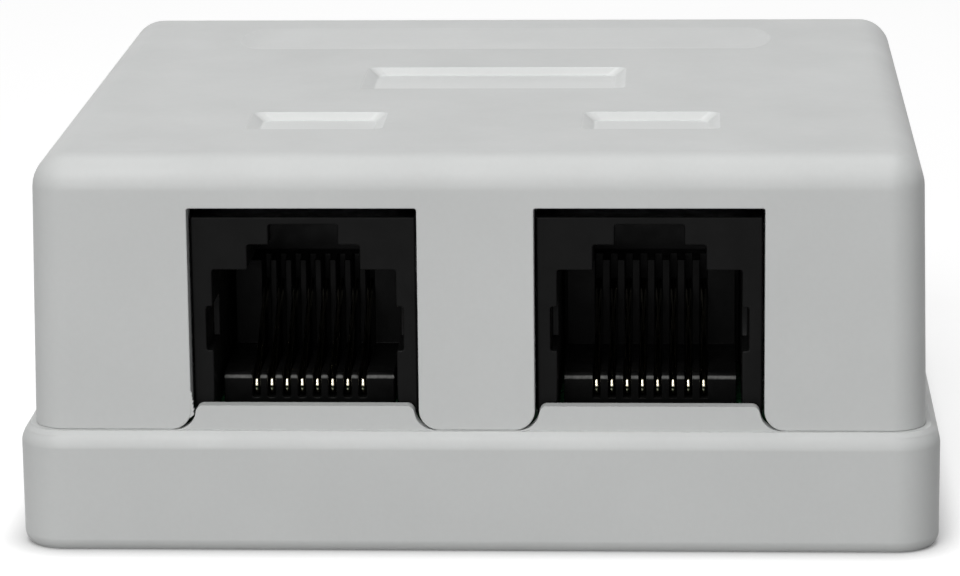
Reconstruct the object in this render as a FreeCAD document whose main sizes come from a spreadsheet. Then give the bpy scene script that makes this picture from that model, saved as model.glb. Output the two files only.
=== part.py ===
import FreeCAD, Part
import Sketcher
import math
import os

# Surface mount jack box: a two-port wall box with its own circuit boards, 8P8C jacks
# and punch-down blocks. Millimetres, +Z up, ports facing -Y, and the origin at the
# centre of the base's underside.

SIZES = [
    # base: the outer tray
    ("base_width", 61.0),
    ("base_depth", 57.0),
    ("base_height", 8.1),
    ("base_corner", 3.0),
    ("base_wall", 2.0),
    ("base_floor", 2.0),
    ("base_inner_corner", 1.2),
    ("rim_bevel", 0.6),
    ("foot_bevel", 0.4),
    # base: the sills that close the cover's ports from below
    ("sill_height", 1.65),
    ("sill_thickness", 0.9),
    ("sill_gap", 0.3),
    ("sill_corner", 0.5),
    # base: screw bosses and rails under the boards, and the wall-screw holes
    ("boss_height", 5.3),
    ("boss_radius", 2.6),
    ("rail_width", 0.9),
    ("rail_ledge", 0.9),
    ("rail_gap", 0.1),
    ("rail_upstand", 0.5),
    ("rail_length", 30.0),
    ("mount_spacing", 50.0),
    ("mount_hole_radius", 2.1),
    ("mount_ring_radius", 3.4),
    ("mount_ring_height", 1.0),
    # base: rear and floor cable entries, and the cable tie anchor
    ("entry_width", 13.0),
    ("entry_step", 1.4),
    ("entry_corner", 2.2),
    ("floor_slot_width", 14.0),
    ("floor_slot_length", 6.0),
    ("floor_slot_corner", 2.0),
    ("floor_slot_inset", 1.2),
    ("tie_width", 9.0),
    ("tie_thickness", 1.8),
    ("tie_height", 4.4),
    ("tie_window_width", 5.0),
    ("tie_window_height", 2.2),
    ("tie_gap", 2.4),
    # cover shell
    ("cover_inset", 0.95),
    ("cover_height", 18.3),
    ("cover_wall", 1.9),
    ("cover_roof", 1.9),
    ("cover_draft", 1.0),
    ("cover_round", 2.3),
    ("cover_inner_corner", 1.0),
    ("port_spacing", 22.7),
    ("port_side_gap", 0.125),
    ("port_headroom", 0.72),
    ("port_foot", 1.35),
    ("port_corner", 0.3),
    # cover: recesses in the top
    ("pocket_depth", 0.6),
    ("pocket_corner", 0.4),
    ("front_pocket_width", 9.3),
    ("front_pocket_length", 5.95),
    ("front_pocket_setback", 9.7),
    ("centre_pocket_width", 18.7),
    ("centre_pocket_length", 8.2),
    ("centre_pocket_setback", 24.3),
    ("scoop_width", 40.0),
    ("scoop_length", 9.0),
    ("scoop_depth", 0.35),
    ("scoop_setback", 10.6),
    # cover: friction tabs inside the base's wall, and ribs over the jacks
    ("tab_width", 7.0),
    ("tab_thickness", 1.5),
    ("tab_drop", 4.5),
    ("tab_rise", 6.0),
    ("tab_lead", 0.5),
    ("tab_gap", 0.15),
    ("side_tab_spacing", 30.0),
    ("rear_tab_spacing", 36.0),
    ("rib_width", 12.0),
    ("rib_thickness", 1.2),
    ("rib_gap", 0.25),
    ("rib_setback", 4.0),
    ("rib_spacing", 7.0),
    # circuit boards
    ("board_width", 20.0),
    ("board_length", 39.5),
    ("board_thickness", 1.6),
    ("board_setback", 2.35),
    ("screw_setback", 16.95),
    ("board_hole_radius", 1.35),
    ("peg_hole_gap", 0.1),
    ("pin_hole", 0.9),
    # jack housings
    ("jack_width", 14.8),
    ("jack_height", 13.35),
    ("jack_depth", 16.0),
    ("jack_recess", 1.1),
    ("jack_face_wall", 1.6),
    ("cavity_depth", 13.5),
    ("plug_width", 12.1),
    ("plug_top", 9.77),
    ("latch_width", 7.4),
    ("latch_step_top", 11.46),
    ("key_width", 4.55),
    ("key_top", 12.82),
    ("notch_width", 13.0),
    ("notch_bottom", 4.34),
    ("notch_top", 7.28),
    ("notch_depth", 4.0),
    # contact carriers
    ("carrier_width", 11.4),
    ("carrier_gap", 0.1),
    ("comb_setback", 2.4),
    ("comb_height", 2.2),
    ("comb_bevel", 0.3),
    ("comb_floor", 0.5),
    ("comb_slot", 0.52),
    ("rear_comb_setback", 10.2),
    ("rear_comb_height", 8.1),
    ("rear_plate", 1.2),
    ("tail_window", 3.4),
    ("peg_size", 1.4),
    ("peg_length", 2.4),
    ("peg_spacing", 9.6),
    ("peg_setback", 6.5),
    # contact wires
    ("contact_count", 8),
    ("contact_pitch", 1.016),
    ("wire_size", 0.4),
    ("wire_lift", 0.05),
    ("wire_rise", 33.0),
    ("wire_bend", 0.45),
    ("wire_setback", 2.8),
    ("wire_tip_setback", 11.2),
    ("tail_setback", 9.5),
    ("tail_row_gap", 2.0),
    ("tail_drop", 1.2),
    # punch-down blocks and their blades
    ("idc_count", 4),
    ("idc_pitch", 3.6),
    ("idc_end", 0.5),
    ("idc_width", 5.6),
    ("idc_height", 9.5),
    ("idc_setback", 26.95),
    ("idc_row_spacing", 12.4),
    ("wire_slot", 0.9),
    ("wire_slot_floor", 4.0),
    ("wire_slot_mouth", 2.6),
    ("wire_slot_throat", 1.9),
    ("blade_width", 2.5),
    ("blade_thickness", 0.5),
    ("blade_gap", 0.05),
    ("blade_foot", 0.4),
    ("blade_height", 7.2),
    ("blade_slot", 0.3),
    ("blade_slot_floor", 3.5),
    ("blade_vee", 0.8),
    ("blade_pin", 0.7),
    # wire caps
    ("cap_wall", 0.8),
    ("cap_gap", 0.15),
    ("cap_roof", 0.9),
    ("cap_skirt", 3.2),
    ("cap_notch", 1.3),
    ("cap_notch_height", 1.8),
    # board screws
    ("screw_radius", 1.1),
    ("screw_length", 5.0),
    ("screw_gap", 0.05),
    ("screw_head_radius", 2.0),
    ("screw_head_height", 1.4),
    ("screw_head_bevel", 0.4),
    ("screw_slot", 0.5),
    ("screw_slot_length", 2.4),
    ("screw_slot_depth", 0.7),
]

# Places that several pieces share, as expressions over the sheet.
BASE_FRONT = "(-sizes.base_depth / 2)"
COVER_FRONT = f"({BASE_FRONT} + sizes.cover_inset)"
COVER_WIDTH = "(sizes.base_width - 2 * sizes.cover_inset)"
COVER_DEPTH = "(sizes.base_depth - 2 * sizes.cover_inset)"
BOARD_BOTTOM = "(sizes.base_floor + sizes.boss_height)"
BOARD_TOP = f"({BOARD_BOTTOM} + sizes.board_thickness)"
BOARD_FRONT = f"({COVER_FRONT} + sizes.board_setback)"
JACK_FRONT = f"({COVER_FRONT} + sizes.jack_recess)"
SLOT_REAR = "(sizes.base_depth / 2 - sizes.base_wall - sizes.floor_slot_inset)"
SLOT_FRONT = f"({SLOT_REAR} - sizes.floor_slot_length)"
PORT_X = "(sizes.port_spacing / 2)"
PORT_WIDTH = "(sizes.jack_width + 2 * sizes.port_side_gap)"
PORT_HEIGHT = f"({BOARD_TOP} + sizes.jack_height + sizes.port_headroom - sizes.base_height)"
IDC_CENTRE = f"({BOARD_FRONT} + sizes.idc_setback)"
IDC_LENGTH = "(sizes.idc_count * sizes.idc_pitch + 2 * sizes.idc_end)"
WIRE_Z = "(sizes.comb_floor + sizes.wire_lift + sizes.wire_size / 2)"
SIDES = (("left", "-"), ("right", ""))

doc = FreeCAD.newDocument("surface_mount_jack_box")


def make_sheet():
    sheet = doc.addObject("Spreadsheet::Sheet", "sizes")
    for row, (name, value) in enumerate(SIZES, 1):
        sheet.set(f"A{row}", name)
        sheet.set(f"B{row}", str(value))
        sheet.setAlias(f"B{row}", name)
    doc.recompute()
    return sheet


sizes = make_sheet()


def value(expression):
    return float(sizes.evalExpression(expression))


def make_body(name, x="0", y="0", z="0"):
    body = doc.addObject("PartDesign::Body", name)
    body.Label = name
    body.setExpression("Placement.Base.x", x)
    body.setExpression("Placement.Base.y", y)
    body.setExpression("Placement.Base.z", z)
    return body


def origin_feature(body, role):
    return next(feature for feature in body.Origin.OriginFeatures if feature.Role == role)


def make_sketch(body, plane, at="0"):
    """An empty sketch on one of the body's own planes, moved along the axis it faces."""
    sketch = body.newObject("Sketcher::SketchObject", "sketch")
    sketch.AttachmentSupport = [(origin_feature(body, plane), "")]
    sketch.MapMode = "FlatFace"
    sign = "-" if plane == "XZ_Plane" else ""
    sketch.setExpression("AttachmentOffset.Base.z", f"{sign}({at})")
    return sketch


def fix_point(sketch, geometry, place, x, y):
    for kind, expression in (("DistanceX", x), ("DistanceY", y)):
        datum = value(expression)
        index = sketch.addConstraint(Sketcher.Constraint(kind, -1, 1, geometry, place, datum))
        sketch.setExpression(f"Constraints[{index}]", expression)


def fix_radius(sketch, geometry, expression):
    index = sketch.addConstraint(Sketcher.Constraint("Radius", geometry, value(expression)))
    sketch.setExpression(f"Constraints[{index}]", expression)


def draw_circle(sketch, x, y, radius):
    centre = FreeCAD.Vector(value(x), value(y), 0)
    circle = sketch.addGeometry(Part.Circle(centre, FreeCAD.Vector(0, 0, 1), value(radius)), False)
    fix_point(sketch, circle, 3, x, y)
    fix_radius(sketch, circle, radius)


def draw_path(sketch, corners, closed=True):
    """Straight lines through the corners (x, y) or (x, y, radius), rounded where a radius is given."""
    points = [FreeCAD.Vector(value(corner[0]), value(corner[1]), 0) for corner in corners]
    radii = [value(corner[2]) if len(corner) > 2 else 0.0 for corner in corners]
    count = len(points)
    bends = []
    for index, radius in enumerate(radii):
        before = (points[index - 1] - points[index]).normalize()
        after = (points[(index + 1) % count] - points[index]).normalize()
        half = before.getAngle(after) / 2
        reach = radius / math.tan(half)
        inwards = FreeCAD.Vector()
        if radius:
            inwards = (before + after).normalize() * (radius / math.sin(half) - radius)
        bends.append((points[index] + before * reach, points[index] + inwards, points[index] + after * reach))
    marks = [sketch.addGeometry(Part.Point(point), True) for point in points]
    for mark, corner in zip(marks, corners):
        fix_point(sketch, mark, 1, corner[0], corner[1])
    spans = count if closed else count - 1
    lines = []
    for index in range(spans):
        line = Part.LineSegment(bends[index][2], bends[(index + 1) % count][0])
        lines.append(sketch.addGeometry(line, False))
    for index in range(spans):
        join_corner(sketch, lines[index], 1, marks[index], radii[index])
        join_corner(sketch, lines[index], 2, marks[(index + 1) % count], radii[(index + 1) % count])
    for index, radius in enumerate(radii):
        if radius:
            round_corner(sketch, lines[index - 1], lines[index], bends[index], corners[index][2])


def join_corner(sketch, line, end, mark, radius):
    if radius:
        sketch.addConstraint(Sketcher.Constraint("PointOnObject", mark, 1, line))
    else:
        sketch.addConstraint(Sketcher.Constraint("Coincident", line, end, mark, 1))


def round_corner(sketch, before, after, bend, radius):
    arc = sketch.addGeometry(Part.Arc(*bend), False)
    gaps = [sketch.getPoint(arc, end).distanceToPoint(bend[0]) for end in (1, 2)]
    first, last = (1, 2) if gaps[0] < gaps[1] else (2, 1)
    sketch.addConstraint(Sketcher.Constraint("Tangent", before, 2, arc, first))
    sketch.addConstraint(Sketcher.Constraint("Tangent", arc, last, after, 1))
    fix_radius(sketch, arc, radius)


def rectangle(x, y, width, length, *radius):
    """The corners of a rectangle centred on (x, y)."""
    left, right = f"{x} - ({width}) / 2", f"{x} + ({width}) / 2"
    near, far = f"{y} - ({length}) / 2", f"{y} + ({length}) / 2"
    return [(left, near, *radius), (right, near, *radius), (right, far, *radius), (left, far, *radius)]


def outline(body, plane, corners, at="0"):
    sketch = make_sketch(body, plane, at)
    draw_path(sketch, corners)
    return sketch


def circles(body, plane, centres, radius, at="0"):
    sketch = make_sketch(body, plane, at)
    for x, y in centres:
        draw_circle(sketch, x, y, radius)
    return sketch


def extrude(kind, body, sketch, length, side, taper):
    before = body.Tip.Shape.Volume if body.Tip else 0.0
    feature = body.newObject(f"PartDesign::{kind}", kind.lower())
    feature.Profile = sketch
    feature.setExpression("Length", length)
    if side == "both":
        feature.SideType = "Symmetric"
    feature.Reversed = (side == "down") == (kind == "Pad")
    if taper:
        feature.setExpression("TaperAngle", taper)
    feature.recompute(True)
    grown = feature.Shape.Volume - before
    if (grown > 1e-6) != (kind == "Pad") or abs(grown) < 1e-6:
        raise ValueError(f"{body.Label}: {kind} changed the volume by {grown}")
    return feature


def pad(body, sketch, length, side="up", taper=None):
    """Adds material along the sketch's facing axis: up, down or to both sides of it."""
    return extrude("Pad", body, sketch, length, side, taper)


def pocket(body, sketch, length, side="down", taper=None):
    """Removes material along the sketch's facing axis: up, down or to both sides of it."""
    return extrude("Pocket", body, sketch, length, side, taper)


def mirror(body, features, plane="YZ_Plane"):
    mirrored = body.newObject("PartDesign::Mirrored", "mirrored")
    mirrored.Originals = features
    mirrored.MirrorPlane = (origin_feature(body, plane), [""])
    body.Tip = mirrored
    mirrored.recompute(True)


def repeat(body, feature, axis, pitch, count):
    pattern = body.newObject("PartDesign::LinearPattern", "pattern")
    pattern.Originals = [feature]
    pattern.Direction = (origin_feature(body, axis), [""])
    pattern.Mode = "Spacing"
    pattern.setExpression("Offset", pitch)
    pattern.setExpression("Occurrences", count)
    body.Tip = pattern
    pattern.recompute(True)


def dress(kind, body, size_name, size, wanted):
    base = body.Tip
    names = [f"Edge{number}" for number, edge in enumerate(base.Shape.Edges, 1) if wanted(edge)]
    if not names:
        raise ValueError(f"{body.Label}: no edge to dress")
    feature = body.newObject(f"PartDesign::{kind}", kind.lower())
    feature.Base = (base, names)
    feature.setExpression(size_name, size)
    feature.recompute(True)


def fillet(body, radius, wanted):
    """Rounds the edges of the body so far that the test picks."""
    dress("Fillet", body, "Radius", radius, wanted)


def bevel(body, size, wanted):
    """Chamfers the edges of the body so far that the test picks."""
    dress("Chamfer", body, "Size", size, wanted)


def lies_at(edge, height):
    box = edge.BoundBox
    return box.ZLength < 1e-6 and abs(box.ZMin - height) < 1e-6


def is_outer_corner(edge):
    """An upright edge at one of the cover's four outer corners."""
    box = edge.BoundBox
    across = abs(box.Center.x) > value(f"{COVER_WIDTH} / 2 - sizes.cover_wall")
    along = abs(box.Center.y) > value(f"{COVER_DEPTH} / 2 - sizes.cover_wall")
    return box.ZLength > 1.0 and across and along


# ---- base ----

def port_profile(x, width, height, foot, corner, drop):
    """A port's outline: open at the bottom, its feet swept outwards."""
    left, right = f"{x} - ({width}) / 2", f"{x} + ({width}) / 2"
    reach = f"({foot} + sizes.port_side_gap)"
    return [
        (f"{left} - {reach}", f"-({drop})"),
        (f"{left} - {reach}", "0"),
        (left, "0", foot),
        (left, height, corner),
        (right, height, corner),
        (right, "0", foot),
        (f"{right} + {reach}", "0"),
        (f"{right} + {reach}", f"-({drop})"),
    ]


def shift_up(corners, height):
    return [(corner[0], f"{corner[1]} + {height}", *corner[2:]) for corner in corners]


def make_base():
    body = make_body("base")
    full = rectangle("0", "0", "sizes.base_width", "sizes.base_depth", "sizes.base_corner")
    pad(body, outline(body, "XY_Plane", full), "sizes.base_height")
    bevel(body, "sizes.rim_bevel", lambda edge: lies_at(edge, value("sizes.base_height")))
    bevel(body, "sizes.foot_bevel", lambda edge: lies_at(edge, 0.0))
    inside = rectangle(
        "0",
        "0",
        "sizes.base_width - 2 * sizes.base_wall",
        "sizes.base_depth - 2 * sizes.base_wall",
        "sizes.base_inner_corner",
    )
    deep = "sizes.base_height - sizes.base_floor"
    pocket(body, outline(body, "XY_Plane", inside, "sizes.base_height"), deep)
    add_sills(body)
    add_board_supports(body)
    add_wall_holes(body)
    add_cable_entries(body)
    add_tie_anchor(body)


def add_sills(body):
    width = f"({PORT_WIDTH} - 2 * sizes.sill_gap)"
    sunk = "sizes.rim_bevel"
    profile = port_profile(PORT_X, width, "sizes.sill_height", "sizes.port_foot", "sizes.sill_corner", sunk)
    sketch = outline(body, "XZ_Plane", shift_up(profile, "sizes.base_height"), COVER_FRONT)
    mirror(body, [pad(body, sketch, "sizes.sill_thickness", "down")])


def add_board_supports(body):
    """A screw boss under each board, and stepped rails that carry and flank its long edges."""
    floor = "sizes.base_floor"
    boss = [(PORT_X, f"{BOARD_FRONT} + sizes.screw_setback")]
    post = circles(body, "XY_Plane", boss, "sizes.boss_radius", floor)
    mirror(body, [pad(body, post, "sizes.boss_height")])
    pilot = "sizes.screw_radius + sizes.screw_gap"
    depth = "sizes.screw_length - sizes.board_thickness + 2 * sizes.screw_gap"
    mirror(body, [pocket(body, circles(body, "XY_Plane", boss, pilot, BOARD_BOTTOM), depth)])
    step = "sizes.boss_height"
    top = f"{step} + sizes.board_thickness + sizes.rail_upstand"
    middle = f"({BOARD_FRONT} + (sizes.board_length + sizes.rail_length) / 2)"
    sketch = make_sketch(body, "XZ_Plane", middle)
    for sign in "-+":
        edge = f"{PORT_X} {sign} sizes.board_width / 2"
        inner = f"{edge} {'+' if sign == '-' else '-'} sizes.rail_ledge"
        face = f"{edge} {sign} sizes.rail_gap"
        outer = f"{face} {sign} sizes.rail_width"
        rail = [(inner, "0"), (inner, step), (face, step), (face, top), (outer, top), (outer, "0")]
        draw_path(sketch, shift_up(rail, floor))
    mirror(body, [pad(body, sketch, "sizes.rail_length", "up")])


def add_wall_holes(body):
    centre = [("sizes.mount_spacing / 2", "0")]
    ring = circles(body, "XY_Plane", centre, "sizes.mount_ring_radius", "sizes.base_floor")
    mirror(body, [pad(body, ring, "sizes.mount_ring_height")])
    hole = circles(body, "XY_Plane", centre, "sizes.mount_hole_radius")
    through = "sizes.base_floor + sizes.mount_ring_height"
    mirror(body, [pocket(body, hole, through, "up")])


def add_cable_entries(body):
    rear = "sizes.base_depth / 2"
    bottom = "sizes.base_floor + sizes.entry_step"
    half = "sizes.entry_width / 2"
    notch = [
        (f"-{half}", "sizes.base_height + sizes.base_floor"),
        (f"-{half}", bottom, "sizes.entry_corner"),
        (half, bottom, "sizes.entry_corner"),
        (half, "sizes.base_height + sizes.base_floor"),
    ]
    pocket(body, outline(body, "XZ_Plane", notch, rear), "sizes.base_wall", "up")
    middle = f"({SLOT_FRONT} + sizes.floor_slot_length / 2)"
    width, length, corner = (f"sizes.floor_slot_{name}" for name in ("width", "length", "corner"))
    slot = rectangle("0", middle, width, length, corner)
    pocket(body, outline(body, "XY_Plane", slot), "sizes.base_floor", "up")


def add_tie_anchor(body):
    front = f"({SLOT_FRONT} - sizes.tie_gap - sizes.tie_thickness)"
    floor = "sizes.base_floor"
    half = "sizes.tie_width / 2"
    window = "sizes.tie_window_width / 2"
    arch = [
        (f"-{half}", floor),
        (f"-{half}", f"{floor} + sizes.tie_height"),
        (half, f"{floor} + sizes.tie_height"),
        (half, floor),
        (window, floor),
        (window, f"{floor} + sizes.tie_window_height"),
        (f"-{window}", f"{floor} + sizes.tie_window_height"),
        (f"-{window}", floor),
    ]
    pad(body, outline(body, "XZ_Plane", arch, front), "sizes.tie_thickness", "down")


# ---- cover ----

def make_cover():
    body = make_body("cover", z="sizes.base_height")
    full = rectangle("0", "0", COVER_WIDTH, COVER_DEPTH)
    pad(body, outline(body, "XY_Plane", full), "sizes.cover_height", taper="-sizes.cover_draft")
    inside = rectangle(
        "0",
        "0",
        f"{COVER_WIDTH} - 2 * sizes.cover_wall",
        f"{COVER_DEPTH} - 2 * sizes.cover_wall",
        "sizes.cover_inner_corner",
    )
    hollow = "sizes.cover_height - sizes.cover_roof"
    pocket(body, outline(body, "XY_Plane", inside), hollow, "up", "-sizes.cover_draft")
    add_tabs(body)
    add_ribs(body)
    top = value("sizes.cover_height")
    fillet(body, "sizes.cover_round", lambda edge: is_outer_corner(edge) or lies_at(edge, top))
    add_ports(body)
    add_top_recesses(body)


def add_ports(body):
    clear = "sizes.cover_wall"
    profile = port_profile(PORT_X, PORT_WIDTH, PORT_HEIGHT, "sizes.port_foot", "sizes.port_corner", clear)
    sketch = outline(body, "XZ_Plane", profile, f"{COVER_FRONT} - {clear}")
    mirror(body, [pocket(body, sketch, f"2 * {clear} + sizes.cover_wall", "down")])


def add_top_recesses(body):
    top = "sizes.cover_height"
    front_y = f"({COVER_FRONT} + sizes.front_pocket_setback + sizes.front_pocket_length / 2)"
    front = rectangle(
        PORT_X, front_y, "sizes.front_pocket_width", "sizes.front_pocket_length", "sizes.pocket_corner"
    )
    mirror(body, [pocket(body, outline(body, "XY_Plane", front, top), "sizes.pocket_depth")])
    centre_y = f"({COVER_FRONT} + sizes.centre_pocket_setback + sizes.centre_pocket_length / 2)"
    centre = rectangle(
        "0", centre_y, "sizes.centre_pocket_width", "sizes.centre_pocket_length", "sizes.pocket_corner"
    )
    pocket(body, outline(body, "XY_Plane", centre, top), "sizes.pocket_depth")
    half = "sizes.scoop_length / 2"
    radius = f"(({half}) ^ 2 + sizes.scoop_depth ^ 2) / (2 * sizes.scoop_depth)"
    middle = f"-({COVER_FRONT}) - sizes.scoop_setback"
    scoop = circles(body, "YZ_Plane", [(middle, f"{top} - sizes.scoop_depth + {radius}")], radius)
    pocket(body, scoop, "sizes.scoop_width", "both")


def tab_profile(wall):
    """A tab's section: it hangs inside the base's wall and blends into the cover's above."""
    outer = f"({wall} - sizes.tab_gap)"
    inner = f"({outer} - sizes.tab_thickness)"
    return [
        (outer, "sizes.tab_thickness"),
        (outer, "sizes.tab_lead - sizes.tab_drop"),
        (f"{outer} - sizes.tab_lead", "-sizes.tab_drop"),
        (inner, "-sizes.tab_drop"),
        (inner, "sizes.tab_rise - sizes.tab_thickness"),
        (outer, "sizes.tab_rise"),
    ]


def add_tabs(body):
    side = tab_profile("(sizes.base_width / 2 - sizes.base_wall)")
    rear = tab_profile("(sizes.base_depth / 2 - sizes.base_wall)")
    for end in ("-", ""):
        row = f"{end}sizes.side_tab_spacing / 2 + sizes.tab_width / 2"
        sketch = outline(body, "XZ_Plane", side, row)
        mirror(body, [pad(body, sketch, "sizes.tab_width", "up")])
    row = "sizes.rear_tab_spacing / 2 - sizes.tab_width / 2"
    mirror(body, [pad(body, outline(body, "YZ_Plane", rear, row), "sizes.tab_width")])


def add_ribs(body):
    """Ribs that hang from the roof and keep the jacks down."""
    bottom = f"{BOARD_TOP} + sizes.jack_height + sizes.rib_gap - sizes.base_height"
    height = f"sizes.cover_height - sizes.cover_roof - ({bottom}) + sizes.rib_gap"
    sketch = make_sketch(body, "XY_Plane", bottom)
    for count in range(2):
        row = f"({JACK_FRONT} + sizes.rib_setback + {count} * sizes.rib_spacing)"
        draw_path(sketch, rectangle(PORT_X, row, "sizes.rib_width", "sizes.rib_thickness"))
    mirror(body, [pad(body, sketch, height)])


# ---- one port's board, jack and contacts ----

ROWS = (("inner", "-"), ("outer", "+"))


def idc_step(number):
    return f"({number} - (sizes.idc_count - 1) / 2) * sizes.idc_pitch"


def contact_step(number):
    return f"({number} - (sizes.contact_count - 1) / 2) * sizes.contact_pitch"


def tail_rows():
    """The two staggered rows of tails: how far back each row is, and its first tail across."""
    for row in range(2):
        yield f"(sizes.tail_setback + {row} * sizes.tail_row_gap)", contact_step(row)


def make_board(side, x):
    body = make_body(f"{side}_circuit_board", x, BOARD_FRONT, BOARD_BOTTOM)
    thick = "sizes.board_thickness"
    slab = rectangle("0", "sizes.board_length / 2", "sizes.board_width", "sizes.board_length")
    pad(body, outline(body, "XY_Plane", slab), thick)
    screw = circles(body, "XY_Plane", [("0", "sizes.screw_setback")], "sizes.board_hole_radius")
    pocket(body, screw, thick, "up")
    jack_y = "(sizes.jack_recess - sizes.board_setback)"
    pegs = make_sketch(body, "XY_Plane")
    square = "sizes.peg_size + 2 * sizes.peg_hole_gap"
    for sign in ("-", ""):
        place = f"{sign}sizes.peg_spacing / 2", f"{jack_y} + sizes.peg_setback"
        draw_path(pegs, rectangle(*place, square, square))
    pocket(body, pegs, thick, "up")
    for behind, across in tail_rows():
        tail = rectangle(across, f"{jack_y} + {behind}", "sizes.pin_hole", "sizes.pin_hole")
        cut = pocket(body, outline(body, "XY_Plane", tail), thick, "up")
        repeat(body, cut, "X_Axis", "2 * sizes.contact_pitch", "sizes.contact_count / 2")
    for _, sign in ROWS:
        across, first = f"0 {sign} sizes.idc_row_spacing / 2", f"sizes.idc_setback + {idc_step(0)}"
        pin = rectangle(across, first, "sizes.pin_hole", "sizes.pin_hole")
        cut = pocket(body, outline(body, "XY_Plane", pin), thick, "up")
        repeat(body, cut, "Y_Axis", "sizes.idc_pitch", "sizes.idc_count")


def make_jack(side, x):
    body = make_body(f"{side}_jack_housing", x, JACK_FRONT, BOARD_TOP)
    block = rectangle("0", "sizes.jack_depth / 2", "sizes.jack_width", "sizes.jack_depth")
    pad(body, outline(body, "XY_Plane", block), "sizes.jack_height")
    plug, latch, key = (f"sizes.{name}_width / 2" for name in ("plug", "latch", "key"))
    below = "-sizes.comb_floor"
    mouth = [
        (f"-{plug}", below),
        (f"-{plug}", "sizes.plug_top"),
        (f"-{latch}", "sizes.plug_top"),
        (f"-{latch}", "sizes.latch_step_top"),
        (f"-{key}", "sizes.latch_step_top"),
        (f"-{key}", "sizes.key_top"),
        (key, "sizes.key_top"),
        (key, "sizes.latch_step_top"),
        (latch, "sizes.latch_step_top"),
        (latch, "sizes.plug_top"),
        (plug, "sizes.plug_top"),
        (plug, below),
    ]
    pocket(body, outline(body, "XZ_Plane", mouth), "sizes.jack_face_wall", "down")
    chamber = [
        (f"-{plug}", below),
        (f"-{plug}", "sizes.plug_top"),
        (f"-{latch}", "sizes.plug_top"),
        (f"-{latch}", "sizes.key_top"),
        (latch, "sizes.key_top"),
        (latch, "sizes.plug_top"),
        (plug, "sizes.plug_top"),
        (plug, below),
    ]
    deep = "sizes.cavity_depth - sizes.jack_face_wall"
    pocket(body, outline(body, "XZ_Plane", chamber, "sizes.jack_face_wall"), deep, "down")
    middle = "(sizes.notch_bottom + sizes.notch_top) / 2"
    notch = rectangle("0", middle, "sizes.notch_width", "sizes.notch_top - sizes.notch_bottom")
    pocket(body, outline(body, "XZ_Plane", notch), "sizes.notch_depth", "down")


def make_carrier(side, x):
    body = make_body(f"{side}_contact_carrier", x, JACK_FRONT, BOARD_TOP)
    rear = "(sizes.cavity_depth - sizes.carrier_gap)"
    section = [
        ("sizes.comb_setback", "0"),
        ("sizes.comb_setback", "sizes.comb_height - sizes.comb_bevel"),
        ("sizes.comb_setback + sizes.comb_bevel", "sizes.comb_height"),
        ("sizes.rear_comb_setback", "sizes.comb_height"),
        ("sizes.rear_comb_setback", "sizes.rear_comb_height"),
        (rear, "sizes.rear_comb_height"),
        (rear, "0"),
    ]
    pad(body, outline(body, "YZ_Plane", section), "sizes.carrier_width", "both")
    back = f"({rear} - sizes.rear_plate)"
    above = "sizes.rear_comb_height + sizes.comb_floor"
    slot = [
        ("sizes.comb_setback - sizes.comb_floor", "sizes.comb_floor"),
        (f"{back} - sizes.tail_window", "sizes.comb_floor"),
        (f"{back} - sizes.tail_window", "-sizes.comb_floor"),
        (back, "-sizes.comb_floor"),
        (back, above),
        ("sizes.comb_setback - sizes.comb_floor", above),
    ]
    first = "-(sizes.contact_count - 1) / 2 * sizes.contact_pitch - sizes.comb_slot / 2"
    cut = pocket(body, outline(body, "YZ_Plane", slot, first), "sizes.comb_slot", "up")
    repeat(body, cut, "X_Axis", "sizes.contact_pitch", "sizes.contact_count")
    pegs = make_sketch(body, "XY_Plane")
    square = "sizes.peg_size"
    for sign in ("-", ""):
        draw_path(pegs, rectangle(f"{sign}sizes.peg_spacing / 2", "sizes.peg_setback", square, square))
    pad(body, pegs, "sizes.peg_length", "down")


def make_contact(side, x, number, behind):
    """A spring wire: up through the board, forward along its slot, round and back up."""
    body = make_body(f"{side}_contact_{number + 1}", f"{x} + {contact_step(number)}", JACK_FRONT, BOARD_TOP)
    bottom = "(-sizes.board_thickness - sizes.tail_drop)"
    turn = "tan(90 - sizes.wire_rise / 2)"
    corner = f"(sizes.wire_setback + sizes.wire_bend * (1 - {turn}))"
    tip = f"{WIRE_Z} + (sizes.wire_tip_setback - {corner}) * tan(sizes.wire_rise)"
    path = make_sketch(body, "YZ_Plane")
    corners = [
        (behind, bottom),
        (behind, WIRE_Z),
        (corner, WIRE_Z, "sizes.wire_bend"),
        ("sizes.wire_tip_setback", tip),
    ]
    draw_path(path, corners, closed=False)
    section = rectangle("0", behind, "sizes.wire_size", "sizes.wire_size")
    pipe = body.newObject("PartDesign::AdditivePipe", "pipe")
    pipe.Transition = "Right corner"
    pipe.Profile = outline(body, "XY_Plane", section, bottom)
    pipe.Spine = path
    pipe.recompute(True)


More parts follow.
